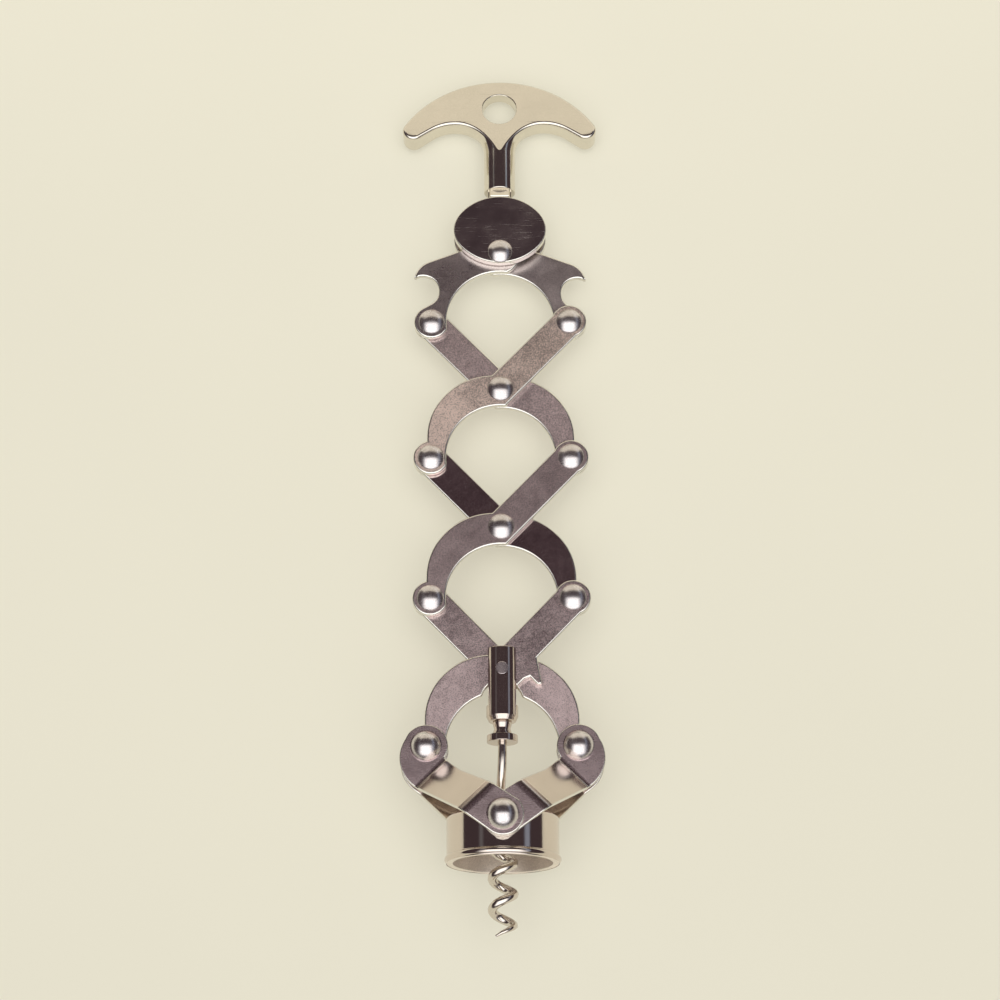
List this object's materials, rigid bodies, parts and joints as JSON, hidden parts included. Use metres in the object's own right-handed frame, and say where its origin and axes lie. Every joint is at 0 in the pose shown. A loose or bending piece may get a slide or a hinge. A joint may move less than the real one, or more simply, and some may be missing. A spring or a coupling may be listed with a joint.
{
  "type": "expandable corkscrew",
  "caption": "Lazy-tongs corkscrew: a bell seats on a bottle's neck and a chain of riveted links lifts the worm and cork as the winged handle is pulled.",
  "frame": {"origin": "centre of the bell's mouth, on the worm's axis", "axes": "+Y along the worm's axis towards the handle, +Z out of the front face, +X to the right seen from the front"},
  "size_m": [0.0638, 0.2838, 0.0482],
  "materials": {
    "satin_nickel": "satin nickel plate",
    "nickel": "bright nickel plate",
    "polished_nickel": "polished nickel plate"
  },
  "bodies": {
    "bell": {"bell": "polished_nickel", "bell_rivet_front": "polished_nickel", "bell_rivet_back": "polished_nickel"},
    "left_yoke": {"yoke_strip_front_left": "nickel", "yoke_strip_back_left": "nickel", "yoke_pin_left": "polished_nickel", "yoke_spacer_left": "nickel"},
    "right_yoke": {"yoke_strip_front_right": "nickel", "yoke_strip_back_right": "nickel", "yoke_pin_right": "polished_nickel", "yoke_spacer_right": "nickel"},
    "lower_front": {"lower_link_front": "satin_nickel", "rivet_lower_right": "polished_nickel"},
    "lower_back": {"lower_link_back": "satin_nickel"},
    "middle_front": {"middle_link_front": "satin_nickel", "cross_rivet_middle": "polished_nickel", "rivet_lower_left": "polished_nickel", "rivet_middle_right": "polished_nickel"},
    "middle_back": {"middle_link_back": "satin_nickel"},
    "upper_front": {"upper_link_front": "satin_nickel", "cross_rivet_upper": "polished_nickel", "rivet_middle_left": "polished_nickel", "rivet_upper_right": "polished_nickel"},
    "upper_back": {"upper_link_back": "satin_nickel"},
    "cap_lifter_left": {"cap_lifter_left": "satin_nickel", "rivet_upper_left": "polished_nickel"},
    "cap_lifter_right": {"cap_lifter_right": "satin_nickel"},
    "worm": {"worm_holder": "nickel", "holder_pin": "polished_nickel", "worm_head": "nickel", "worm": "polished_nickel"},
    "handle": {"handle": "polished_nickel", "cheek_front": "polished_nickel", "cheek_back": "polished_nickel", "top_rivet": "polished_nickel"}
  },
  "joints": [
    {"name": "fold", "type": "hinge", "parent": "bell", "child": "left_yoke", "pos_m": [0, 0.011, 0], "axis": [0, 0, 1], "range_deg": [-16, 32]},
    {"name": "right_yoke_turn", "type": "hinge", "parent": "bell", "child": "right_yoke", "pos_m": [0, 0.011, 0], "axis": [0, 0, 1], "range_deg": [-32, 16]},
    {"name": "lower_front_turn", "type": "hinge", "parent": "left_yoke", "child": "lower_front", "pos_m": [-0.02314, 0.03522, 0], "axis": [0, 0, 1], "range_deg": [-64, 32]},
    {"name": "lower_back_turn", "type": "hinge", "parent": "right_yoke", "child": "lower_back", "pos_m": [0.02314, 0.03522, 0], "axis": [0, 0, 1], "range_deg": [-32, 64]},
    {"name": "worm_rise", "type": "hinge", "parent": "lower_front", "child": "worm", "pos_m": [0, 0.05944, 0], "axis": [0, 0, 1], "range_deg": [-16, 32]},
    {"name": "middle_back_turn", "type": "hinge", "parent": "lower_front", "child": "middle_back", "pos_m": [0.02211, 0.08257, 0], "axis": [0, 0, 1], "range_deg": [-32, 64]},
    {"name": "middle_front_turn", "type": "hinge", "parent": "lower_back", "child": "middle_front", "pos_m": [-0.02211, 0.08257, 0], "axis": [0, 0, 1], "range_deg": [-64, 32]},
    {"name": "upper_front_turn", "type": "hinge", "parent": "middle_back", "child": "upper_front", "pos_m": [-0.02211, 0.12884, 0], "axis": [0, 0, 1], "range_deg": [-64, 32]},
    {"name": "upper_back_turn", "type": "hinge", "parent": "middle_front", "child": "upper_back", "pos_m": [0.02211, 0.12884, 0], "axis": [0, 0, 1], "range_deg": [-32, 64]},
    {"name": "cap_lifter_right_turn", "type": "hinge", "parent": "upper_front", "child": "cap_lifter_right", "pos_m": [0.02211, 0.17511, 0], "axis": [0, 0, 1], "range_deg": [-32, 64]},
    {"name": "cap_lifter_left_turn", "type": "hinge", "parent": "upper_back", "child": "cap_lifter_left", "pos_m": [-0.02211, 0.17511, 0], "axis": [0, 0, 1], "range_deg": [-64, 32]},
    {"name": "handle_rise", "type": "hinge", "parent": "cap_lifter_left", "child": "handle", "pos_m": [0, 0.19825, 0], "axis": [0, 0, 1], "range_deg": [-16, 32]}
  ],
  "couplings": [
    {"joint": "right_yoke_turn", "follows": "fold", "ratio": -1},
    {"joint": "lower_front_turn", "follows": "fold", "ratio": -2},
    {"joint": "lower_back_turn", "follows": "fold", "ratio": 2},
    {"joint": "worm_rise", "follows": "fold", "ratio": 1},
    {"joint": "middle_back_turn", "follows": "fold", "ratio": 2},
    {"joint": "middle_front_turn", "follows": "fold", "ratio": -2},
    {"joint": "upper_front_turn", "follows": "fold", "ratio": -2},
    {"joint": "upper_back_turn", "follows": "fold", "ratio": 2},
    {"joint": "cap_lifter_right_turn", "follows": "fold", "ratio": 2},
    {"joint": "cap_lifter_left_turn", "follows": "fold", "ratio": -2},
    {"joint": "handle_rise", "follows": "fold", "ratio": 1}
  ]
}
